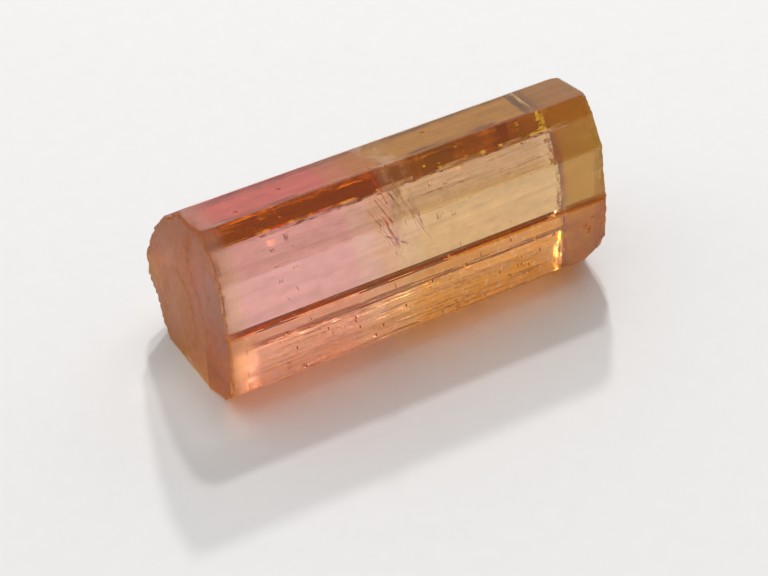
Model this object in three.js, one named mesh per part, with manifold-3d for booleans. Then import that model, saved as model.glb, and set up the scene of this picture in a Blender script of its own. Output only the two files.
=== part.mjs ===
import * as THREE from "three";
import { mergeVertices } from "three/addons/utils/BufferGeometryUtils.js";
import Module from "manifold-3d";

// A bicolour tourmaline prism that lies on one of its broad faces.
// Millimetres, +Z up. The long crystal axis is X, with the pink end at -X and the golden end at +X.

const wasm = await Module();
wasm.setup();

// Driving dimensions
const LENGTH = 20;
const HEIGHT = 8.92;
const EDGE_ROUND = 0.07;
const EDGE_STEPS = 3;
const SEED = 2111;

// Edges shorter than this are merged away
const SLIVER = 0.01;

// Corners of the rounded three-sided section, front first, counted upward and over to the back.
// y runs from the front (-) to the back (+) and z is the height over the resting face.
const CORNERS = [
  { name: "foot", y: -2.8, z: 0 },
  { name: "sill", y: -4.13, z: 1.28 },
  { name: "waist", y: -3.86, z: 4.59 },
  { name: "brow", y: -3.33, z: 6.93 },
  { name: "shoulder", y: -2.45, z: 8.21 },
  { name: "crest", y: -1.66, z: HEIGHT },
  { name: "ridge", y: 0.51, z: 8.54 },
  { name: "slope", y: 2.67, z: 6.67 },
  { name: "back", y: 4, z: 4.02 },
  { name: "heel", y: 4.13, z: 3.58 },
  { name: "tuck", y: 3.75, z: 0.35 },
  { name: "base", y: 2.94, z: 0 },
];

// Striations: shallow grooves along the prism faces, tapering to nothing at both ends
const GROOVE_GAP = 0.42;
const GROOVE_LENGTH = [5, 13];
const GROOVE_WIDTH = [0.07, 0.16];
const GROOVE_DEPTH = [0.02, 0.05];

// Growth ledges: long low hollows with pointed ends, where a layer of the face never grew
const LEDGES = [
  { face: "waist", along: -1.5, across: 0.24, length: 15, width: 0.34, depth: 0.07 },
  { face: "waist", along: 4.6, across: 0.72, length: 8.6, width: 0.42, depth: 0.06 },
  { face: "sill", along: -3.2, across: 0.62, length: 11.5, width: 0.5, depth: 0.08 },
  { face: "sill", along: 5.2, across: 0.2, length: 7, width: 0.36, depth: 0.07 },
  { face: "crest", along: 2.4, across: 0.6, length: 12, width: 0.4, depth: 0.06 },
  { face: "brow", along: -4, across: 0.5, length: 9, width: 0.3, depth: 0.05 },
  { face: "ridge", along: 1, across: 0.45, length: 14, width: 0.6, depth: 0.08 },
  { face: "slope", along: -2, across: 0.4, length: 12, width: 0.7, depth: 0.08 },
  { face: "heel", along: 2, across: 0.6, length: 10, width: 0.5, depth: 0.07 },
];
const LEDGE_THICK = 0.6;
const LEDGE_SIDES = 6;

// Pits: short nicks across the faces, thickest around the colour boundary and below the waist
const PIT_COUNT = 34;
const PIT_LENGTH = [0.18, 0.5];
const PIT_WIDTH = [0.05, 0.11];
const PIT_DEPTH = [0.05, 0.1];

// Worn rims at both ends
const RIM_SPACING = 0.7;
const RIM_BITE = [0.07, 0.26];

// Uneven breaks that leave the end faces slightly stepped
const BREAKS = 11;
const BREAK_DEPTH = [0.06, 0.2];
const BREAK_REACH = [0.6, 1.9];

// Corners broken off flat: each plane runs through three points, and what lies beyond it is gone
const BROKEN_CORNERS = [
  { name: "golden end, below the waist", a: [10, -4.3, 2.5], b: [9.25, -4.3, 1.3], c: [10, -3, 1.1] },
  { name: "golden end, along the sill", a: [9.7, -4.3, 1.95], b: [8.1, -4.2, 1.1], c: [9.5, -2.6, 0] },
  { name: "pink end, foot", a: [-10, -4, 0.75], b: [-9.4, -3.1, 0], c: [-10, -1.7, 0] },
  { name: "pink end, upper back", a: [-10, 1.99, 7.2], b: [-9.2, 2.69, 6.75], c: [-10, 3.09, 5.8] },
  { name: "pink end, lower back", a: [-10, 4.04, 2.83], b: [-8.6, 3.75, 0.35], c: [-10, 2.27, 0.3] },
];
const FAR = 12;

// One fixed sequence of fractions from 0 to 1 keeps every run alike.
let state = SEED;
function chance() {
  state = (state * 16807) % 2147483647;
  return state / 2147483647;
}

function between([low, high]) {
  return low + (high - low) * chance();
}

// The prism's outline, with each corner turned by a small arc
function softenedOutline() {
  const points = [];
  const count = CORNERS.length;
  for (let i = 0; i < count; i += 1) {
    const corner = new THREE.Vector2(CORNERS[i].y, CORNERS[i].z);
    const before = new THREE.Vector2(CORNERS[(i + count - 1) % count].y, CORNERS[(i + count - 1) % count].z);
    const after = new THREE.Vector2(CORNERS[(i + 1) % count].y, CORNERS[(i + 1) % count].z);
    const start = before.sub(corner).setLength(EDGE_ROUND).add(corner);
    const end = after.sub(corner).setLength(EDGE_ROUND).add(corner);
    const turn = new THREE.QuadraticBezierCurve(start, corner, end);
    points.push(...turn.getPoints(EDGE_STEPS));
  }
  return points;
}

function asManifold(geometry) {
  const bare = geometry.clone();
  bare.deleteAttribute("normal");
  bare.deleteAttribute("uv");
  const welded = mergeVertices(bare, 1e-5);
  return new wasm.Manifold(new wasm.Mesh({
    numProp: 3,
    vertProperties: Float32Array.from(welded.attributes.position.array),
    triVerts: Uint32Array.from(welded.index.array),
  }));
}

function asGeometry(solid) {
  const mesh = solid.getMesh();
  const geometry = new THREE.BufferGeometry();
  geometry.setAttribute("position", new THREE.BufferAttribute(mesh.vertProperties, 3));
  geometry.setIndex(new THREE.BufferAttribute(mesh.triVerts, 1));
  const faceted = geometry.toNonIndexed();
  faceted.computeVertexNormals();
  return faceted;
}

function prismBody() {
  const shape = new THREE.Shape(softenedOutline());
  const geometry = new THREE.ExtrudeGeometry(shape, { depth: LENGTH, bevelEnabled: false, steps: 1 });
  const lengthways = new THREE.Matrix4().makeBasis(
    new THREE.Vector3(0, 1, 0),
    new THREE.Vector3(0, 0, 1),
    new THREE.Vector3(1, 0, 0),
  );
  geometry.applyMatrix4(lengthways);
  geometry.translate(-LENGTH / 2, 0, 0);
  return asManifold(geometry);
}

// A frame on one prism face: local x along the crystal, local y across the face, local z outward
function onFace(name, along, across) {
  const index = CORNERS.findIndex((corner) => corner.name === name);
  const from = CORNERS[index];
  const to = CORNERS[(index + 1) % CORNERS.length];
  const sideways = new THREE.Vector3(0, to.y - from.y, to.z - from.z);
  const width = sideways.length();
  sideways.normalize();
  const lengthways = new THREE.Vector3(1, 0, 0);
  const outward = new THREE.Vector3(0, -sideways.z, sideways.y);
  const inward = new THREE.Vector3(-1, 0, 0);
  const frame = new THREE.Matrix4().makeBasis(lengthways, sideways, outward);
  if (frame.determinant() < 0) {
    frame.makeBasis(inward, sideways, outward);
  }
  frame.setPosition(along, from.y + (to.y - from.y) * across, from.z + (to.z - from.z) * across);
  return { frame, width };
}

// An eight-sided spindle sunk to half its thickness, so that it leaves a tapering V
function spindle(place, length, width, depth, turn) {
  const geometry = new THREE.OctahedronGeometry(1);
  geometry.scale(length / 2, width / 2, depth);
  geometry.rotateZ(turn);
  geometry.applyMatrix4(place);
  return asManifold(geometry);
}

function striations() {
  const cutters = [];
  for (const corner of CORNERS) {
    if (corner.name === "base") {
      continue;
    }
    const { width } = onFace(corner.name, 0, 0.5);
    const rows = Math.max(1, Math.round(width / GROOVE_GAP));
    for (let row = 0; row < rows; row += 1) {
      const across = (row + 0.3 + 0.4 * chance()) / rows;
      const length = between(GROOVE_LENGTH);
      const along = (chance() - 0.5) * (LENGTH - length);
      const { frame } = onFace(corner.name, along, across);
      cutters.push(spindle(frame, length, between(GROOVE_WIDTH), between(GROOVE_DEPTH), 0));
    }
  }
  return cutters;
}

function ledges() {
  return LEDGES.map((ledge) => {
    const { frame } = onFace(ledge.face, ledge.along, ledge.across);
    const geometry = new THREE.CylinderGeometry(0.5, 0.5, LEDGE_THICK, LEDGE_SIDES);
    geometry.rotateX(Math.PI / 2);
    geometry.rotateZ(Math.PI / 2);
    geometry.scale(ledge.length, ledge.width, 1);
    geometry.translate(0, 0, LEDGE_THICK / 2 - ledge.depth);
    geometry.applyMatrix4(frame);
    return asManifold(geometry);
  });
}

function pits() {
  const faces = ["sill", "waist", "brow", "crest", "sill", "ridge", "slope", "tuck", "sill", "foot"];
  const cutters = [];
  for (let i = 0; i < PIT_COUNT; i += 1) {
    const along = (chance() - 0.45) * LENGTH * 0.8;
    const { frame } = onFace(faces[i % faces.length], along, 0.12 + 0.76 * chance());
    const turn = Math.PI / 2 + (chance() - 0.5) * 0.7;
    cutters.push(spindle(frame, between(PIT_LENGTH), between(PIT_WIDTH), between(PIT_DEPTH), turn));
  }
  return cutters;
}

// A twelve-faced lump whose flat sides leave small broken faces where it is taken away
function bite(x, y, z, reach, depth, rise) {
  const geometry = new THREE.DodecahedronGeometry(1);
  geometry.rotateX(chance() * Math.PI);
  geometry.rotateY(chance() * Math.PI);
  geometry.scale(reach, depth, rise);
  geometry.translate(x, y, z);
  return asManifold(geometry);
}

// Small bites follow the rim of one end at even steps around the outline.
function wornRim(side) {
  const rim = new THREE.Shape(CORNERS.map((corner) => new THREE.Vector2(corner.y, corner.z)));
  rim.closePath();
  const count = Math.round(rim.getLength() / RIM_SPACING);
  const bites = [];
  for (let i = 0; i < count; i += 1) {
    const spot = rim.getPointAt((i + 0.6 * chance()) / count);
    if (spot.y < 0.3) {
      continue;
    }
    const size = between(RIM_BITE);
    bites.push(bite(side * (LENGTH / 2 + size * 0.35), spot.x, spot.y, size, size * 1.3, size * 1.3));
  }
  return bites;
}

// Wide flat lumps taken off an end face leave it stepped, as broken crystal is.
function brokenFace(side) {
  const lumps = [];
  for (let i = 0; i < BREAKS; i += 1) {
    const depth = between(BREAK_DEPTH);
    const y = (chance() - 0.5) * 6.5;
    const z = 1.6 + chance() * 6;
    lumps.push(bite(side * (LENGTH / 2 + 0.01), y, z, depth, between(BREAK_REACH), between(BREAK_REACH)));
  }
  return lumps;
}

// A large block with one side on the plane through three points, on the side away from the centre
function beyondPlane({ a, b, c }) {
  const origin = new THREE.Vector3(...a);
  const first = new THREE.Vector3(...b).sub(origin).normalize();
  const outward = new THREE.Vector3(...c).sub(origin).cross(first).normalize();
  const middle = new THREE.Vector3(0, 0, HEIGHT / 2);
  if (outward.dot(middle.sub(origin)) > 0) {
    outward.negate();
  }
  const second = outward.clone().cross(first);
  const geometry = new THREE.BoxGeometry(FAR, FAR, FAR);
  geometry.translate(0, 0, FAR / 2);
  const place = new THREE.Matrix4().makeBasis(first, second, outward);
  place.setPosition(origin);
  geometry.applyMatrix4(place);
  return asManifold(geometry);
}

// Loose crumbs between overlapping bites fall away, and the crystal stays.
function largestOf(solid) {
  const bodies = solid.decompose();
  return bodies.reduce((most, body) => (body.volume() > most.volume() ? body : most));
}

function crystal() {
  let solid = prismBody();
  const cutters = [
    ...ledges(),
    ...striations(),
    ...pits(),
    ...wornRim(-1),
    ...wornRim(1),
    ...brokenFace(-1),
    ...brokenFace(1),
    ...BROKEN_CORNERS.map(beyondPlane),
  ];
  for (const cutter of cutters) {
    solid = solid.subtract(cutter);
  }
  return asGeometry(largestOf(solid.simplify(SLIVER)));
}

const material = new THREE.MeshStandardMaterial({ color: 0xd99a7c, roughness: 0.08, metalness: 0 });
const tourmaline = new THREE.Mesh(crystal(), material);
tourmaline.name = "tourmaline_crystal";

const group = new THREE.Group();
group.name = "tourmaline";
group.add(tourmaline);

export default group;
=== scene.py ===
import math
import random
from types import SimpleNamespace

import bmesh
import bpy
from mathutils import Matrix, Vector, noise


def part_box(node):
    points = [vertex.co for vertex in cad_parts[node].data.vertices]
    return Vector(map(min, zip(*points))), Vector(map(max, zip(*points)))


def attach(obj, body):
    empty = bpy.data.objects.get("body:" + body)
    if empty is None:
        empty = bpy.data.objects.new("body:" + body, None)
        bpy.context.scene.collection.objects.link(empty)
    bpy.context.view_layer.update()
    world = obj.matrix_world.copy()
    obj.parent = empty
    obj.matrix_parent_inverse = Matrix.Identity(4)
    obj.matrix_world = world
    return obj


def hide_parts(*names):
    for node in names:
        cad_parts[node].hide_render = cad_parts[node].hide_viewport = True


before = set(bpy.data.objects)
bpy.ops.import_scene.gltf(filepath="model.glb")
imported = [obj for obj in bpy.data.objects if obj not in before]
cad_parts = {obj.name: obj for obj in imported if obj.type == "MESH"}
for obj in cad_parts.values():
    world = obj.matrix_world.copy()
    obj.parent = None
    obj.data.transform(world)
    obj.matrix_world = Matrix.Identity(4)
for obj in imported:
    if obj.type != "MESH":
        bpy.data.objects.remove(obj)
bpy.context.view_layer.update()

bl_info = {
    "name": "Tourmaline crystal",
    "version": (1, 0, 0),
    "blender": (4, 5, 0),
    "location": "3D View > Sidebar > Tourmaline",
    "description": "A clear bicolour tourmaline prism with worn ends, on a pale floor",
    "category": "Object",
}

MM = 0.001
NODE = "tourmaline_crystal"
LOW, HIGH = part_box(NODE)
LENGTH = HIGH[0] - LOW[0]

# Corners of the rounded three-sided section in millimetres, front first, up and over to the back
CORNERS = (
    ("foot", -2.8, 0.0),
    ("sill", -4.13, 1.28),
    ("ledge", -3.96, 4.36),
    ("waist", -3.81, 4.58),
    ("brow", -3.33, 6.93),
    ("shoulder", -2.45, 8.21),
    ("crest", -1.66, 8.92),
    ("ridge", 0.51, 8.54),
    ("slope", 2.67, 6.67),
    ("back", 4.0, 4.02),
    ("heel", 4.13, 3.58),
    ("tuck", 3.73, 0.14),
    ("base", 3.5, 0.0),
)
CORNER = {name: (across * MM, up * MM) for name, across, up in CORNERS}
SHOULDER_Z = CORNER["shoulder"][1]

# Corners broken off flat: a plane through three points, in millimetres
BROKEN_CORNERS = (
    ((10, -4.3, 2.5), (9.25, -4.3, 1.3), (10, -3, 1.1)),
    ((9.7, -4.3, 1.95), (8.1, -4.2, 1.1), (9.5, -2.6, 0)),
    ((-10, -4, 0.75), (-9.4, -3.1, 0), (-10, -1.7, 0)),
    ((-10, 1.99, 7.2), (-9.2, 2.69, 6.75), (-10, 3.09, 5.8)),
    ((-10, 4.04, 2.83), (-8.6, 3.75, 0.35), (-10, 2.27, 0.3)),
)

# Rim edges lie this close to an end, and chips reach this far from it.
RIM_ZONE = 1.2 * MM
RIM_REACH = 0.6 * MM

# A normal that points along the crystal by more than this belongs to a broken end, and past the second
# value to its flat middle, which has no rim chips.
END_NORMAL = 0.6
FLAT_END_NORMAL = 0.95

# The relief comes from smooth noise. Waves are counted per metre, and a row only keeps two patterns apart.
CHIP_WAVES = 1300
CRUMB_WAVES = 2900
CRUMB_SHARE = 0.6
CHIP_COVER = 0.15

# The broken ends: waves across, up and along, row, and share of the depth
END_STREAKS = ((900, 260, 50), 0.0, 0.25)
END_LUMPS = ((330, 330, 30), 7.0, 0.45)
END_STEPS = ((240, 180, 0), 3.0, 0.6)
STEPS_PER_WAVE = 2.5
GOLDEN_END_CALM = 0.12

# Fine lines along the sides: waves per radian around the section, waves per metre along it, row, share
SIDE_LINES = ((26, 70, 1.0, 0.7), (5, 40, 5.0, 0.6))
SECTION_MIDDLE = 4 * MM

# The relief of ends and sides is set back by this share of its depth, so that it hardly passes the prism.
SET_BACK = 0.5

# The face that the crystal rests on stays flat up to this height.
RESTING_HEIGHT = 0.05 * MM

# Long edges that come and go: corner, reach across and up, depth, waves per metre, row, share set back
UNEVEN_EDGES = (
    (CORNER["ledge"], (0.03 * MM, 0.04 * MM), 0.15 * MM, 420, 0.5, 0.3),
    (CORNER["shoulder"], (0.06 * MM, 0.06 * MM), 0.1 * MM, 900, 3.5, 0.2),
)

# Edges that turn by more than this are worn matt, and edges that turn by more than the second look sharp.
WORN_TURN = math.radians(8)
SHARP_TURN = math.radians(9)

# Share of the mesh cells on each prism face that is sunk as a pit
PIT_SHARE = {"sill": 0.035, "shoulder": 0.006, "crest": 0.003, "heel": 0.004, "slope": 0.01, "foot": 0.03}
PIT_AREA = 0.03 * MM * MM
PIT_SEED = 12
PIT_WALL = 0.8

# Pits gather in patches: waves per metre of the patches, and the crowding outside and inside them
PATCH_WAVES = (300, 500, 500)
PATCH_CROWDING = (0.5, 2.5)

# Healed cracks inside: a crowd around the colour boundary and a few small ones elsewhere. Ranges are in
# millimetres: place across and up, height and width.
BOUNDARY_X = -0.6 * MM
BOUNDARY_SPREAD = 0.4 * MM
FLAKES_AT_BOUNDARY = 22
BOUNDARY_FLAKES = {"across": (-2.7, -0.8), "up": (4.7, 7.5), "tall": (0.5, 1.4), "wide": (0.1, 0.35)}
FLAKES_ELSEWHERE = 30
SMALL_FLAKES = {"along": (-8, 9), "across": (-2.7, 1), "up": (1.0, 6.5), "tall": (0.08, 0.25),
                "wide": (0.03, 0.1)}
FLAKE_SEED = 5

# How a crack is turned about Z, Y and X: mean and spread in degrees
FLAKE_TURNS = ((0, 7, "Z"), (-25, 6, "Y"), (12, 10, "X"))

# A crack's ragged outline: waves around it and their reach. The sheet also bends: waves per metre, and how
# far it bends.
OUTLINE_WAVES = 2.2
OUTLINE_REACH = 0.45
BEND_WAVES = 1500
FLAKE_BEND = 0.06 * MM


def linear(hex_colour):
    """An sRGB hex colour as linear red, green and blue."""
    channels = [int(hex_colour[i:i + 2], 16) / 255 for i in (0, 2, 4)]
    return tuple(c / 12.92 if c <= 0.04045 else ((c + 0.055) / 1.055) ** 2.4 for c in channels)


def size_setting(name, description, millimetres):
    return bpy.props.FloatProperty(
        name=name, description=description, default=millimetres * MM, unit="LENGTH")


def colour_setting(name, description, hex_colour):
    return bpy.props.FloatVectorProperty(
        name=name, description=description, subtype="COLOR", size=3, default=linear(hex_colour))


def plain_setting(name, description, value):
    return bpy.props.FloatProperty(name=name, description=description, default=value)


class CrystalSizes(bpy.types.PropertyGroup):
    """Sizes of the crystal's finer relief"""

    edge_wear: size_setting("Edge wear", "Width of the worn long edges", 0.06)
    rim_wear: size_setting("Rim wear", "Width of the worn rims of the end faces", 0.28)
    cell: size_setting("Cell", "Spacing of the mesh across the section", 0.2)
    station: size_setting("Station", "Spacing of the mesh along the crystal", 0.2)
    striation: size_setting("Striation", "Depth of the fine lines along the faces", 0.006)
    end_relief: size_setting("End relief", "Depth of the steps on the broken ends", 0.2)
    chip: size_setting("Rim chips", "Depth of the chips along both rims", 0.32)
    pit: size_setting("Pit", "Depth of the pits in the faces", 0.05)
    flake: size_setting("Flake", "Thickness of the healed cracks inside", 0.012)


class CrystalColours(bpy.types.PropertyGroup):
    """Colours and clarity of the tourmaline"""

    pink: colour_setting("Pink", "Tint of the pink half", "ffdbff")
    gold: colour_setting("Gold", "Tint of the golden half", "f7ebc7")
    cap: colour_setting("Cap", "Tint of the pale layer at the pink end", "f7e3d7")
    end: colour_setting("End", "Tan tint of the broken pink end", "fff159")
    seam: colour_setting("Seam", "Pale tint of the cracked zone between the halves", "fff8ff")
    amber: colour_setting("Amber", "Deeper tint of the last stretch before the golden end", "ffe761")
    skin: colour_setting("Skin", "Orange tint of the pitted face under the waist, pink half", "ffd17c")
    gold_skin: colour_setting(
        "Golden skin", "Tint of the pitted face under the waist, golden half", "f9a200")
    pale: colour_setting("Pale", "Milky tint under the shoulder of the golden half", "fff7ff")
    # Painted shade: this darker tint shades the front of the crystal near the floor.
    painted_floor_shade: colour_setting("Sole", "Darker tint of the crystal near the floor", "d7bfb3")
    stripe: colour_setting("Stripe", "Brown tint of the narrow face beside the top, pink half", "ffa600")
    gold_stripe: colour_setting("Golden stripe", "The same stripe on the golden half", "ffec27")
    streak: colour_setting("Streak", "Greyer tint of the long growth lines", "ebebe8")
    milk: colour_setting("Milk", "Greyer tint of the cloudy patches", "f0f0f0")
    body: colour_setting("Body", "Colour that light takes on deep inside", "f7d499")
    depth: plain_setting("Absorption", "How fast the body colour builds up, per metre", 150.0)
    ior: plain_setting("Index of refraction", "Tourmaline bends light by this much", 1.63)


class StageColours(bpy.types.PropertyGroup):
    """Floor and light around the crystal"""

    paper: colour_setting("Paper", "Colour of the pale floor", "f3f2f1")
    sky: plain_setting("Sky", "Brightness of the light behind and above", 1.03)
    room: plain_setting("Room", "Brightness of the room in front", 0.27)
    key: plain_setting("Key", "Share of the light on the floor that each lamp adds", 0.19)
    glow: plain_setting("Glow", "Lamp light that comes down through the crystal", 0.5)


def prism(sizes):
    """The section drawn out along the crystal axis, with worn long edges."""
    mesh = bmesh.new()
    rim = [mesh.verts.new((-LENGTH / 2, across * MM, up * MM)) for _, across, up in CORNERS]
    end = mesh.faces.new(rim)
    drawn = bmesh.ops.extrude_face_region(mesh, geom=[end])
    moved = [part for part in drawn["geom"] if isinstance(part, bmesh.types.BMVert)]
    bmesh.ops.translate(mesh, verts=moved, vec=(LENGTH, 0, 0))
    bmesh.ops.recalc_face_normals(mesh, faces=mesh.faces)
    long_edges = [e for e in mesh.edges if abs(e.verts[0].co.x - e.verts[1].co.x) > LENGTH / 2]
    bmesh.ops.bevel(mesh, geom=long_edges, offset=sizes.edge_wear, offset_type="OFFSET",
                    segments=1, profile=0.5, affect="EDGES", material=-1)
    return mesh


def cut_away(mesh, origin, outward):
    """Removes what lies beyond a plane and closes the hole with one flat face."""
    cut = bmesh.ops.bisect_plane(mesh, geom=mesh.verts[:] + mesh.edges[:] + mesh.faces[:],
                                 plane_co=origin, plane_no=outward, clear_outer=True)
    rim = [part for part in cut["geom_cut"] if isinstance(part, bmesh.types.BMEdge)]
    bmesh.ops.contextual_create(mesh, geom=rim)


def break_corners(mesh):
    middle = Vector((0, 0, (HIGH[2] - LOW[2]) / 2))
    for points in BROKEN_CORNERS:
        a, b, c = (Vector(point) * MM for point in points)
        outward = (b - a).cross(c - a).normalized()
        if outward.dot(middle - a) > 0:
            outward.negate()
        cut_away(mesh, a, outward)


def is_end(normal):
    return abs(normal.x) > END_NORMAL


def wear_rims(mesh, width):
    """Rounds the edges where the prism faces meet the two ends."""
    rims = []
    for edge in mesh.edges:
        if len(edge.link_faces) != 2:
            continue
        first, second = (is_end(face.normal) for face in edge.link_faces)
        if first != second and min(abs(v.co.x) for v in edge.verts) > LENGTH / 2 - RIM_ZONE:
            rims.append(edge)
    bmesh.ops.bevel(mesh, geom=rims, offset=width, offset_type="OFFSET", segments=3,
                    profile=0.5, affect="EDGES", clamp_overlap=True, material=-1)


def steps(low, high, spacing):
    """Places between two ends, evenly spaced and without the ends."""
    count = max(1, round((high - low) / spacing))
    return [low + (high - low) * i / count for i in range(1, count)]


def cross_hatch(mesh, sizes):
    """Cuts every face by evenly spaced planes, so that relief has vertices to move."""
    for axis, spacing in ((0, sizes.station), (1, sizes.cell), (2, sizes.cell)):
        normal = Vector((0, 0, 0))
        normal[axis] = 1
        for place in steps(LOW[axis], HIGH[axis], spacing):
            bmesh.ops.bisect_plane(mesh, geom=mesh.verts[:] + mesh.edges[:] + mesh.faces[:],
                                   plane_co=normal * place, plane_no=normal, dist=1e-7)
    bmesh.ops.remove_doubles(mesh, verts=mesh.verts, dist=2e-6)


def rim_chips(point, normal, depth):
    """How deep the chips along the rims are at a point."""
    if abs(normal.x) >= FLAT_END_NORMAL:
        return 0.0
    near_rim = max(0.0, 1 - (LENGTH / 2 - abs(point.x)) / RIM_REACH)
    chips = noise.noise(point * CHIP_WAVES) + CRUMB_SHARE * noise.noise(point * CRUMB_WAVES) + CHIP_COVER
    return depth * near_rim ** 2 * max(0.0, chips)


def end_noise(point, pattern):
    waves, row, _ = pattern
    return noise.noise(Vector((point.y * waves[0], point.z * waves[1], row + point.x * waves[2])))


def broken_end(point, depth):
    """Streaks, lumps and flat steps of the pink end. The golden end is calmer."""
    if point.x >= 0:
        depth *= GOLDEN_END_CALM
    step = round(STEPS_PER_WAVE * end_noise(point, END_STEPS)) / STEPS_PER_WAVE
    height = (END_STREAKS[2] * end_noise(point, END_STREAKS) + END_LUMPS[2] * end_noise(point, END_LUMPS)
              + END_STEPS[2] * step)
    return depth * (height - SET_BACK)


def side_lines(point, depth):
    """Fine and broad lines that run along the sides."""
    around = math.atan2(point.z - SECTION_MIDDLE, point.y)
    height = 0.0
    for per_radian, per_metre, row, share in SIDE_LINES:
        height += share * noise.noise(Vector((around * per_radian, point.x * per_metre, row)))
    return depth * (height - SET_BACK)


def uneven_edges(point):
    """How far a long edge that comes and goes is set back at a point."""
    back = 0.0
    for (across, up), (reach_across, reach_up), depth, waves, row, share in UNEVEN_EDGES:
        if abs(point.y - across) < reach_across and abs(point.z - up) < reach_up:
            back += depth * max(0.0, noise.noise(Vector((point.x * waves, row, 2.0))) + share)
    return back


def relief(point, normal, sizes):
    """How far the surface moves along its normal at a point, in metres: mostly inward, so below nothing."""
    chips = rim_chips(point, normal, sizes.chip)
    if is_end(normal):
        return broken_end(point, sizes.end_relief) - chips
    if point.z < RESTING_HEIGHT:
        return 0.0
    return side_lines(point, sizes.striation) - (chips + uneven_edges(point))


def add_relief(mesh, sizes):
    mesh.normal_update()
    moves = [(v, v.normal.copy() * relief(v.co, v.normal, sizes)) for v in mesh.verts]
    for vertex, move in moves:
        vertex.co += move


def mark_wear(mesh):
    """Stores how worn each vertex is: 1 on edges and rims, 0 on open faces."""
    worn = mesh.verts.layers.float.new("worn")
    mesh.normal_update()
    for vertex in mesh.verts:
        turn = max(face.normal.angle(vertex.normal) for face in vertex.link_faces)
        vertex[worn] = 1.0 if turn > WORN_TURN else 0.0


def face_of(normal):
    """The name of the prism face with that outward normal, or None for an end."""
    if is_end(normal):
        return None
    best = None
    for (name, y0, z0), (_, y1, z1) in zip(CORNERS, CORNERS[1:] + CORNERS[:1]):
        outward = Vector((0, z0 - z1, y1 - y0)).normalized()
        if best is None or outward.dot(normal) > best[0]:
            best = (outward.dot(normal), name)
    return best[1]


def dig_pits(mesh, depth):
    """Small pits: single cells of the mesh pushed in, thickest on the face under the waist."""
    mesh.normal_update()
    dice = random.Random(PIT_SEED)
    outside, inside = PATCH_CROWDING
    chosen = []
    for face in mesh.faces:
        if len(face.verts) != 4 or face.calc_area() < PIT_AREA:
            continue
        share = PIT_SHARE.get(face_of(face.normal), 0.0)
        middle = face.calc_center_median()
        patch = noise.noise(Vector([place * waves for place, waves in zip(middle, PATCH_WAVES)]))
        if dice.random() < share * (outside + inside * max(0.0, patch)):
            chosen.append(face)
    bmesh.ops.inset_individual(mesh, faces=chosen, thickness=depth * PIT_WALL, depth=-depth,
                               use_even_offset=True)


def flake(mesh, dice, place, tall, wide, thick):
    """One healed crack: a thin closed hollow across the crystal, with an uneven outline."""
    turn = Matrix.Identity(4)
    for mean, spread, axis in FLAKE_TURNS:
        turn = turn @ Matrix.Rotation(math.radians(dice.gauss(mean, spread)), 4, axis)
    shape = Matrix.Translation(place) @ turn @ Matrix.Diagonal((thick, wide, tall, 1))
    made = bmesh.ops.create_icosphere(mesh, subdivisions=3, radius=1, matrix=shape)
    ragged = dice.uniform(0, 50)
    for vertex in made["verts"]:
        away = vertex.co - place
        wave = noise.noise(away.normalized() * OUTLINE_WAVES + Vector((ragged, 0, 0)))
        bend = FLAKE_BEND * noise.noise(away * BEND_WAVES + Vector((ragged, 5, 0)))
        vertex.co = place + away * (1 + OUTLINE_REACH * wave) + Vector((bend, 0, 0))
    faces = {face for vertex in made["verts"] for face in vertex.link_faces}
    bmesh.ops.reverse_faces(mesh, faces=list(faces))


def some(dice, limits):
    """A length in metres between two limits in millimetres."""
    return dice.uniform(*limits) * MM


def crack(mesh, thick):
    """Healed cracks crowd around the colour boundary, and a few lie elsewhere."""
    dice = random.Random(FLAKE_SEED)
    crowd = BOUNDARY_FLAKES
    for _ in range(FLAKES_AT_BOUNDARY):
        along = dice.gauss(BOUNDARY_X, BOUNDARY_SPREAD)
        place = Vector((along, some(dice, crowd["across"]), some(dice, crowd["up"])))
        flake(mesh, dice, place, some(dice, crowd["tall"]), some(dice, crowd["wide"]), thick)
    few = SMALL_FLAKES
    for _ in range(FLAKES_ELSEWHERE):
        place = Vector([some(dice, few[way]) for way in ("along", "across", "up")])
        flake(mesh, dice, place, some(dice, few["tall"]), some(dice, few["wide"]), thick)


def finish_mesh(mesh, name):
    """Shades a bmesh and returns it as an object at the origin."""
    for face in mesh.faces:
        face.smooth = True
    for edge in mesh.edges:
        edge.smooth = edge.calc_face_angle(0.0) < SHARP_TURN
    data = bpy.data.meshes.new(name)
    mesh.to_mesh(data)
    mesh.free()
    piece = bpy.data.objects.new(name, data)
    bpy.context.scene.collection.objects.link(piece)
    return piece


def add(tree, kind, stops=(), **values):
    """A shader node with its settings and sockets filled in; a socket given as a value is linked.

    Stops are the places of a colour ramp with their colours, or with one number for a grey.
    """
    node = tree.nodes.new(kind)
    for key, value in values.items():
        if key in node.bl_rna.properties:
            setattr(node, key, value)
            continue
        socket = node.inputs[int(key[1:])] if key[1:].isdigit() else node.inputs[key.replace("_", " ")]
        if isinstance(value, bpy.types.NodeSocket):
            tree.links.new(value, socket)
        else:
            socket.default_value = value
    for _ in stops[2:]:
        node.color_ramp.elements.new(0.5)
    if stops:
        for point, (place, colour) in zip(node.color_ramp.elements, stops):
            point.position = place
            point.color = (colour, colour, colour, 1) if isinstance(colour, float) else (*colour, 1)
    return node


def runs(value, *changes):
    """Stops of a ramp that holds one value, turns to the next between two places, holds that, and so on."""
    stops = []
    for start, end, following in changes:
        stops += [(start, value), (end, following)]
        value = following
    return stops


def span(start, end, least=0.0, most=1.0):
    """Settings of a Map Range node that goes from least at one place to most at the other."""
    return {"From_Min": start, "From_Max": end, "To_Min": least, "To_Max": most}


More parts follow.
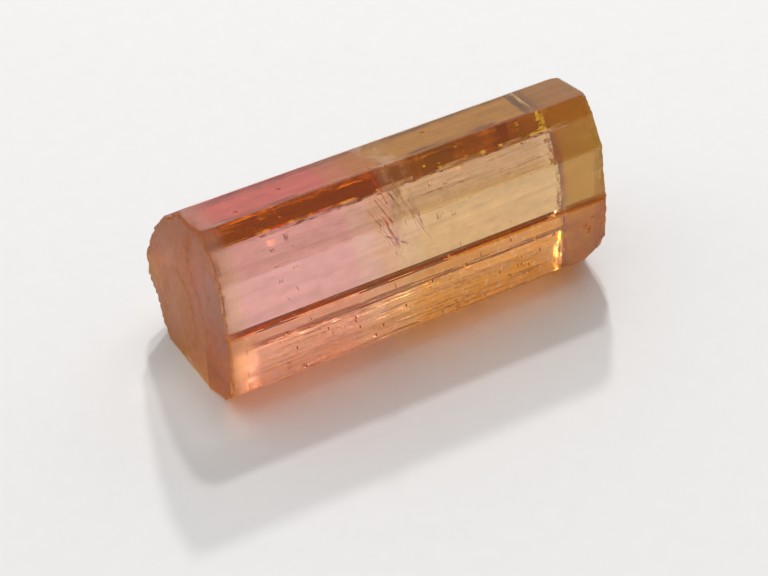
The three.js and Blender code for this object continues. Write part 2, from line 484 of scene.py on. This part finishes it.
# Where a finish begins or ends up the section or across it, over a short blend
FRONT = span(-1.68 * MM, -1.74 * MM)
STRIPE_BLEND = 0.05 * MM
STRIPE_RISE = span(SHOULDER_Z - STRIPE_BLEND, SHOULDER_Z + STRIPE_BLEND)
STRIP_RISE = span(7.0 * MM, 7.5 * MM)
STRIP_TOP = span(SHOULDER_Z + STRIPE_BLEND, SHOULDER_Z - STRIPE_BLEND)
ABOVE_WAIST = span(4.5 * MM, 4.8 * MM)
UNDER_WAIST = span(4.6 * MM, 4.4 * MM)
# Painted shade darkens the front faces from this height down to the floor.
PAINTED_SHADE_RISE = span(2.9 * MM, 1.5 * MM)

# Where a finish begins or ends along the crystal, as shares of its length from the pink end
ALONG = span(-LENGTH / 2, LENGTH / 2)
TAN_ENDS = (0.004, 0.014)
STRIPE_BEGINS = (0.025, 0.05)
CAP_ENDS = (0.04, 0.065)
GAP_BEGINS = (0.425, 0.44)
HAZE_BEGINS = (0.425, 0.445)
PINK_ENDS = (0.435, 0.45)
SKINS_MEET = (0.44, 0.49)
PALE_BEGINS = span(0.46, 0.49)
GOLD_BEGINS = (0.49, 0.51)
HAZE_ENDS = (0.495, 0.52)
GAP_ENDS = (0.5, 0.52)
FROST_BEGINS = (0.875, 0.89)
AMBER_BEGINS = span(0.88, 0.888)

# Stretched patterns: size of a patch along the crystal and across it in millimetres, and detail
WANDER = (3.0, 1.2, 2.0)
CLOUDS = (1.6, 0.7, 3.0)
# The light dashes in the orange skin are painted glints, where the skin tint thins out.
GLINT_DASHES = (0.14, 0.5, 1.0)
STREAKS = (5.0, 0.35, 3.0)
MILK = (0.7, 0.45, 4.0)
VEIL = (0.5, 0.9, 2.0)
GROWTH_LINES = (8.0, 0.3, 3.0)
MOTTLE = (0.9, 0.5, 2.0)

# The colour boundaries wander along the crystal by this share of its length.
WANDER_BY = 0.06

# How a pattern's value turns into strength, tint or roughness
CLOUD_STRENGTH = span(0.3, 0.7, 0.85, 1.0)
# Painted glints: where this pattern is high, the skin tint thins to 0.4 and the face looks lighter.
GLINT_DASH_STRENGTH = span(0.61, 0.68, 1.0, 0.4)
STREAK_EDGE = (0.35, 0.6)
MILK_EDGE = (0.36, 0.56)
VEIL_ROUGHNESS = span(0.42, 0.6, 0.03, 0.3)

# Roughness along the crystal: matt pink end, dull cap, polished faces, matt golden end
ROUGHNESS = ((0.0, 0.62), (0.012, 0.45), (0.07, 0.12), (0.1, 0.03), (0.985, 0.03), (0.995, 0.4))
FROST_ROUGHNESS = 0.24
WORN_ROUGHNESS = 0.12

# Depth of the lines and the mottle that are too fine for the mesh, and how much of it shows on the ends
LINE_DEPTH = 0.012 * MM
MOTTLE_DEPTH = 0.006 * MM
BUMP_STRENGTH = ((0.005, 0.5), (0.02, 1.0), (0.98, 1.0), (0.995, 0.15))


def pattern(tree, place, along, across, detail):
    """Noise whose patches measure that much along the crystal and across it, in millimetres."""
    spread = add(tree, "ShaderNodeMapping", Vector=place, Scale=(across / along, 1, 1))
    return add(tree, "ShaderNodeTexNoise", Vector=spread.outputs["Vector"], Scale=1 / (across * MM),
               Detail=detail).outputs["Fac"]


def measure(tree):
    """Sockets that tell where a point of the crystal lies."""
    place = add(tree, "ShaderNodeTexCoord").outputs["Object"]
    axis = add(tree, "ShaderNodeSeparateXYZ", Vector=place).outputs
    along = add(tree, "ShaderNodeMapRange", Value=axis["X"], **ALONG).outputs["Result"]
    wander = pattern(tree, place, *WANDER)
    shift = add(tree, "ShaderNodeMath", operation="MULTIPLY_ADD", _0=wander, _1=WANDER_BY, _2=along)
    share = add(tree, "ShaderNodeMath", operation="SUBTRACT", _0=shift.outputs["Value"], _1=WANDER_BY / 2)
    front = add(tree, "ShaderNodeMapRange", Value=axis["Y"], **FRONT)
    return SimpleNamespace(place=place, along=along, share=share.outputs["Value"], height=axis["Z"],
                           front=front.outputs["Result"])


def dye(tree, colour, tint, *masks, blend="MULTIPLY"):
    """The colour with a tint laid over it where all the masks hold."""
    amount = masks[0] if masks else 1.0
    for mask in masks[1:]:
        amount = add(tree, "ShaderNodeMath", operation="MULTIPLY", _0=amount, _1=mask).outputs["Value"]
    over = tint if isinstance(tint, bpy.types.NodeSocket) else (*tint, 1)
    mixed = add(tree, "ShaderNodeMix", data_type="RGBA", blend_type=blend, _0=amount, _6=colour, _7=over)
    return mixed.outputs[2]


def halves(tree, at, colours):
    """Pale cap, pink half, cracked seam and golden half, one after another along the crystal."""
    cap, pink, seam, gold = (tuple(c) for c in (colours.cap, colours.pink, colours.seam, colours.gold))
    return add(tree, "ShaderNodeValToRGB", Fac=at.share, stops=runs(
        cap, (*CAP_ENDS, pink), (*PINK_ENDS, seam), (*GOLD_BEGINS, gold))).outputs["Color"]


def milky_strip(tree, at, colours, below):
    """A paler strip under the shoulder of the golden half."""
    rise = add(tree, "ShaderNodeMapRange", Value=at.height, **STRIP_RISE).outputs["Result"]
    top = add(tree, "ShaderNodeMapRange", Value=at.height, **STRIP_TOP).outputs["Result"]
    golden = add(tree, "ShaderNodeMapRange", Value=at.share, **PALE_BEGINS).outputs["Result"]
    return dye(tree, below, colours.pale, rise, top, at.front, golden, blend="MIX")


def orange_skin(tree, at, colours, below):
    """The cloudy orange skin of the pitted face, with painted glints as light dashes where it thins, and
    painted shade near the floor.
    """
    low = add(tree, "ShaderNodeMapRange", Value=at.height, **UNDER_WAIST).outputs["Result"]
    clouds = add(tree, "ShaderNodeMapRange", Value=pattern(tree, at.place, *CLOUDS), **CLOUD_STRENGTH)
    # Painted glints: light dashes where the skin tint thins.
    painted_glints = add(tree, "ShaderNodeMapRange", Value=pattern(tree, at.place, *GLINT_DASHES), **GLINT_DASH_STRENGTH)
    skin = add(tree, "ShaderNodeValToRGB", Fac=at.share, stops=runs(
        tuple(colours.skin), (*SKINS_MEET, tuple(colours.gold_skin)))).outputs["Color"]
    skinned = dye(tree, below, skin, low, at.front, clouds.outputs["Result"], painted_glints.outputs["Result"])
    # Painted shade: the crystal turns darker towards the floor.
    painted_floor_shade = add(tree, "ShaderNodeMapRange", Value=at.height, **PAINTED_SHADE_RISE).outputs["Result"]
    return dye(tree, skinned, colours.painted_floor_shade, painted_floor_shade, at.front)


def brown_stripe(tree, at, colours, below):
    """The brown narrow face between shoulder and crest, broken by the seam."""
    rise = add(tree, "ShaderNodeMapRange", Value=at.height, **STRIPE_RISE).outputs["Result"]
    unbroken = add(tree, "ShaderNodeValToRGB", Fac=at.along, stops=runs(
        0.0, (*STRIPE_BEGINS, 1.0), (*GAP_BEGINS, 0.0), (*GAP_ENDS, 1.0))).outputs["Color"]
    brown = add(tree, "ShaderNodeValToRGB", Fac=at.share, stops=runs(
        tuple(colours.stripe), (*SKINS_MEET, tuple(colours.gold_stripe)))).outputs["Color"]
    return dye(tree, below, brown, rise, at.front, unbroken)


def ends(tree, at, colours, below):
    """Amber before the golden end, tan on the broken pink end."""
    last = add(tree, "ShaderNodeMapRange", Value=at.along, **AMBER_BEGINS).outputs["Result"]
    deepened = dye(tree, below, colours.amber, last, at.front)
    tan = add(tree, "ShaderNodeValToRGB", Fac=at.along, stops=runs(tuple(colours.end), (*TAN_ENDS, 1.0)))
    return dye(tree, deepened, tan.outputs["Color"])


def clouding(tree, at, colours, below):
    """Long growth streaks and small milky patches, both a little grey."""
    streaks = add(tree, "ShaderNodeValToRGB", Fac=pattern(tree, at.place, *STREAKS), stops=runs(
        tuple(colours.streak), (*STREAK_EDGE, 1.0))).outputs["Color"]
    milk = add(tree, "ShaderNodeValToRGB", Fac=pattern(tree, at.place, *MILK), stops=runs(
        tuple(colours.milk), (*MILK_EDGE, 1.0))).outputs["Color"]
    return dye(tree, dye(tree, below, streaks), milk)


def roughness(tree, at):
    """Matt ends, a frosted last stretch, a hazy seam above the waist and worn edges."""
    base = add(tree, "ShaderNodeValToRGB", Fac=at.along, stops=ROUGHNESS).outputs["Color"]
    frost = add(tree, "ShaderNodeValToRGB", Fac=at.along, stops=runs(
        0.0, (*FROST_BEGINS, FROST_ROUGHNESS))).outputs["Color"]
    frosted = add(tree, "ShaderNodeMath", operation="MULTIPLY_ADD", _0=frost, _1=at.front, _2=base)
    haze = add(tree, "ShaderNodeValToRGB", Fac=at.along, stops=runs(
        0.0, (*HAZE_BEGINS, 1.0), (*HAZE_ENDS, 0.0))).outputs["Color"]
    veil = add(tree, "ShaderNodeMapRange", Value=pattern(tree, at.place, *VEIL), **VEIL_ROUGHNESS)
    above = add(tree, "ShaderNodeMapRange", Value=at.height, **ABOVE_WAIST)
    upper = add(tree, "ShaderNodeMath", operation="MULTIPLY", _0=haze, _1=above.outputs["Result"])
    hazy = add(tree, "ShaderNodeMath", operation="MULTIPLY_ADD", _0=upper.outputs["Value"],
               _1=veil.outputs["Result"], _2=frosted.outputs["Value"])
    worn = add(tree, "ShaderNodeAttribute", attribute_name="worn").outputs["Fac"]
    return add(tree, "ShaderNodeMath", operation="MULTIPLY_ADD", _0=worn, _1=WORN_ROUGHNESS,
               _2=hazy.outputs["Value"]).outputs["Value"]


def fine_lines(tree, at):
    """Growth lines and mottle that are too fine for the mesh."""
    sides = add(tree, "ShaderNodeValToRGB", Fac=at.along, stops=BUMP_STRENGTH).outputs["Color"]
    lines = pattern(tree, at.place, *GROWTH_LINES)
    lined = add(tree, "ShaderNodeBump", Height=lines, Distance=LINE_DEPTH, Strength=sides)
    mottle = pattern(tree, at.place, *MOTTLE)
    return add(tree, "ShaderNodeBump", Height=mottle, Distance=MOTTLE_DEPTH, Strength=sides,
               Normal=lined.outputs["Normal"]).outputs["Normal"]


def tourmaline_material(colours):
    """Clear tourmaline, grown and broken but never cut: glossy see-through faces and matt ends.

    Light passes the tinted surface at least twice and is taken up inside, so the colours look deeper than
    the tints.
    """
    material = bpy.data.materials.new("clear_bicolour_tourmaline")
    material.use_nodes = True
    tree = material.node_tree
    surface = tree.nodes["Principled BSDF"]
    surface.inputs["Transmission Weight"].default_value = 1.0
    surface.inputs["IOR"].default_value = colours.ior
    at = measure(tree)
    colour = halves(tree, at, colours)
    for layer in (milky_strip, orange_skin, brown_stripe, ends, clouding):
        colour = layer(tree, at, colours, colour)
    tree.links.new(colour, surface.inputs["Base Color"])
    tree.links.new(roughness(tree, at), surface.inputs["Roughness"])
    tree.links.new(fine_lines(tree, at), surface.inputs["Normal"])
    depth = add(tree, "ShaderNodeVolumeAbsorption", Color=(*colours.body, 1), Density=colours.depth)
    tree.links.new(depth.outputs["Volume"], tree.nodes["Material Output"].inputs["Volume"])
    return material


class TOURMALINE_OT_crystal(bpy.types.Operator):
    """Builds the crystal: prism, broken corners, worn rims, striations and its clear material"""

    bl_idname = "tourmaline.crystal"
    bl_label = "Crystal"

    def execute(self, context):
        sizes = context.scene.tourmaline_sizes
        mesh = prism(sizes)
        break_corners(mesh)
        wear_rims(mesh, sizes.rim_wear)
        cross_hatch(mesh, sizes)
        add_relief(mesh, sizes)
        mark_wear(mesh)
        dig_pits(mesh, sizes.pit)
        bmesh.ops.recalc_face_normals(mesh, faces=mesh.faces)
        crack(mesh, sizes.flake)
        piece = finish_mesh(mesh, "crystal")
        piece.data.materials.append(tourmaline_material(context.scene.tourmaline_colours))
        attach(piece, "root")
        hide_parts(NODE)
        return {"FINISHED"}


# The camera of the photo: the point it looks at, its distance and its two angles
AIM = Vector((-2.83, -5.11, 5.23)) * MM
CAMERA_DISTANCE = 100 * MM
CAMERA_AZIMUTH = -30.94
CAMERA_ELEVATION = 39.9
LENS = 107.8
SENSOR = 36.0
CLIP_START = 5 * MM

# The floor lies a hair under the crystal, so that the two don't share a plane.
FLOOR_SIZE = 1.2
FLOOR_GAP = 0.01 * MM
PAPER_GRAIN = 1.11 * MM
PAPER_ROUGHNESS = 0.9
PAPER_GLOSS = 0.2
GRAIN_EDGE = (0.3, 0.7)
GRAIN_SHADE = 0.985

# Two lamps behind and to the right: how far their shadows fall along X and Y for each unit of height,
# and whether they glint inside the crystal
LAMPS = (((0.33, 0.564), True), ((0.567, 0.972), False))
LAMP_DISTANCE = 0.5
LAMP_SIZE = 0.03

# Lamp light that the crystal lets through: four pools under it, one in front and one beside the pink end.
# Each pool has a centre, a length and a width in millimetres, a colour and a share of the glow.
GLOWS = (
    ((-5.15, 0.85, -0.005), 7.7, 5.0, "ffa69b", 1.0),
    ((-0.6, 0.85, -0.005), 1.4, 5.0, "edaa81", 1.0),
    ((0.8, 0.85, -0.005), 1.4, 5.0, "e1b359", 1.0),
    ((5.5, 0.85, -0.005), 8.0, 5.0, "dabc30", 1.0),
    ((-2.5, -6.6, 1.6), 13.0, 3.0, "ff8959", 0.12),
    ((-11.7, -2.4, 1.2), 1.8, 5.5, "fff7f3", 0.42),
)

# The sky brightens toward this side, and darkens toward the horizon to a share of itself.
SKY_SIDE = (0, 0.92, 0.39)
SKY_TURN = (0.0, 0.6)
HORIZON = span(0.15, 0.55, 0.35, 1.0)

# Light passes many faces before it leaves the crystal.
CLEAR_BOUNCES = 24
GLOSSY_BOUNCES = 16


def camera():
    data = bpy.data.cameras.new("camera")
    data.sensor_width = SENSOR
    data.lens = LENS
    data.clip_start = CLIP_START
    eye = bpy.data.objects.new("camera", data)
    bpy.context.scene.collection.objects.link(eye)
    azimuth, elevation = math.radians(CAMERA_AZIMUTH), math.radians(CAMERA_ELEVATION)
    back = Vector((math.sin(azimuth) * math.cos(elevation), -math.cos(azimuth) * math.cos(elevation),
                   math.sin(elevation)))
    eye.location = AIM + back * CAMERA_DISTANCE
    eye.rotation_euler = back.to_track_quat("Z", "Y").to_euler()
    bpy.context.scene.camera = eye


def lamp(lean, share, glints):
    """A small round softbox whose light adds that share to the floor's brightness.

    Without glints the crystal doesn't show its image, so that no bright cluster hides the face under the
    waist.
    """
    toward = Vector((lean[0], lean[1], 1)).normalized()
    data = bpy.data.lights.new("lamp", "AREA")
    data.shape = "DISK"
    data.size = LAMP_SIZE
    data.energy = share * math.pi ** 2 * LAMP_DISTANCE ** 2 / toward.z
    light = bpy.data.objects.new("lamp", data)
    light.visible_transmission = glints
    bpy.context.scene.collection.objects.link(light)
    light.location = toward * LAMP_DISTANCE
    light.rotation_euler = toward.to_track_quat("Z", "Y").to_euler()


def glow(centre, length, width, colour, share):
    """Stands for lamp light that comes down through the crystal onto the paper."""
    data = bpy.data.lights.new("glow", "AREA")
    data.shape = "RECTANGLE"
    data.size = length * MM
    data.size_y = width * MM
    data.color = linear(colour)
    data.energy = share * math.pi * data.size * data.size_y
    light = bpy.data.objects.new("glow", data)
    bpy.context.scene.collection.objects.link(light)
    light.location = Vector(centre) * MM


def surroundings(stage):
    """A soft sky: bright behind and above the crystal, dim toward the room in front."""
    world = bpy.data.worlds.new("studio")
    bpy.context.scene.world = world
    world.use_nodes = True
    tree = world.node_tree
    toward = add(tree, "ShaderNodeTexCoord").outputs["Generated"]
    facing = add(tree, "ShaderNodeVectorMath", operation="DOT_PRODUCT", _0=toward, _1=SKY_SIDE)
    sky = add(tree, "ShaderNodeMapRange", interpolation_type="SMOOTHSTEP", Value=facing.outputs["Value"],
              **span(*SKY_TURN, stage.room, stage.sky))
    height = add(tree, "ShaderNodeSeparateXYZ", Vector=toward).outputs["Z"]
    horizon = add(tree, "ShaderNodeMapRange", interpolation_type="SMOOTHSTEP", Value=height, **HORIZON)
    strength = add(tree, "ShaderNodeMath", operation="MULTIPLY", _0=sky.outputs["Result"],
                   _1=horizon.outputs["Result"])
    light = tree.nodes["Background"]
    light.inputs["Color"].default_value = (1, 1, 1, 1)
    tree.links.new(strength.outputs["Value"], light.inputs["Strength"])


def paper_material(colour):
    """Matt white paper with a faint grain."""
    material = bpy.data.materials.new("matt_paper")
    material.use_nodes = True
    tree = material.node_tree
    surface = tree.nodes["Principled BSDF"]
    surface.inputs["Roughness"].default_value = PAPER_ROUGHNESS
    surface.inputs["Specular IOR Level"].default_value = PAPER_GLOSS
    place = add(tree, "ShaderNodeTexCoord").outputs["Object"]
    grain = add(tree, "ShaderNodeTexNoise", Vector=place, Scale=1 / PAPER_GRAIN, Detail=3.0)
    shade = tuple(channel * GRAIN_SHADE for channel in colour)
    tint = add(tree, "ShaderNodeValToRGB", Fac=grain.outputs["Fac"], stops=runs(
        shade, (*GRAIN_EDGE, tuple(colour))))
    tree.links.new(tint.outputs["Color"], surface.inputs["Base Color"])
    return material


class TOURMALINE_OT_stage(bpy.types.Operator):
    """Sets the pale floor, the soft light and the camera of the photo"""

    bl_idname = "tourmaline.stage"
    bl_label = "Stage"

    def execute(self, context):
        stage = context.scene.tourmaline_stage
        mesh = bmesh.new()
        bmesh.ops.create_grid(mesh, x_segments=1, y_segments=1, size=FLOOR_SIZE / 2)
        floor = finish_mesh(mesh, "floor")
        floor.location.z = -FLOOR_GAP
        floor.data.materials.append(paper_material(stage.paper))
        for lean, glints in LAMPS:
            lamp(lean, stage.key, glints)
        for centre, length, width, colour, part in GLOWS:
            glow(centre, length, width, colour, stage.glow * part)
        surroundings(stage)
        camera()
        scene = context.scene
        scene.view_settings.view_transform = "Standard"
        scene.cycles.max_bounces = CLEAR_BOUNCES
        scene.cycles.transmission_bounces = CLEAR_BOUNCES
        scene.cycles.glossy_bounces = GLOSSY_BOUNCES
        scene.cycles.use_denoising = True
        return {"FINISHED"}


class TOURMALINE_PT_panel(bpy.types.Panel):
    """Sizes, colours and the two build steps"""

    bl_idname = "TOURMALINE_PT_panel"
    bl_label = "Tourmaline crystal"
    bl_space_type = "VIEW_3D"
    bl_region_type = "UI"
    bl_category = "Tourmaline"

    def draw(self, context):
        for group in GROUPS:
            settings = getattr(context.scene, group)
            for name in settings.bl_rna.properties.keys():
                if name not in ("rna_type", "name"):
                    self.layout.prop(settings, name)
        self.layout.operator("tourmaline.crystal")
        self.layout.operator("tourmaline.stage")


CLASSES = (CrystalSizes, CrystalColours, StageColours, TOURMALINE_OT_crystal, TOURMALINE_OT_stage,
           TOURMALINE_PT_panel)
GROUPS = {
    "tourmaline_sizes": CrystalSizes,
    "tourmaline_colours": CrystalColours,
    "tourmaline_stage": StageColours,
}


def register():
    for item in CLASSES:
        bpy.utils.register_class(item)
    for name, group in GROUPS.items():
        setattr(bpy.types.Scene, name, bpy.props.PointerProperty(type=group))


def unregister():
    for name in GROUPS:
        delattr(bpy.types.Scene, name)
    for item in reversed(CLASSES):
        bpy.utils.unregister_class(item)


def main():
    register()
    bpy.ops.tourmaline.crystal()
    bpy.ops.tourmaline.stage()


if __name__ == "__main__":
    main()
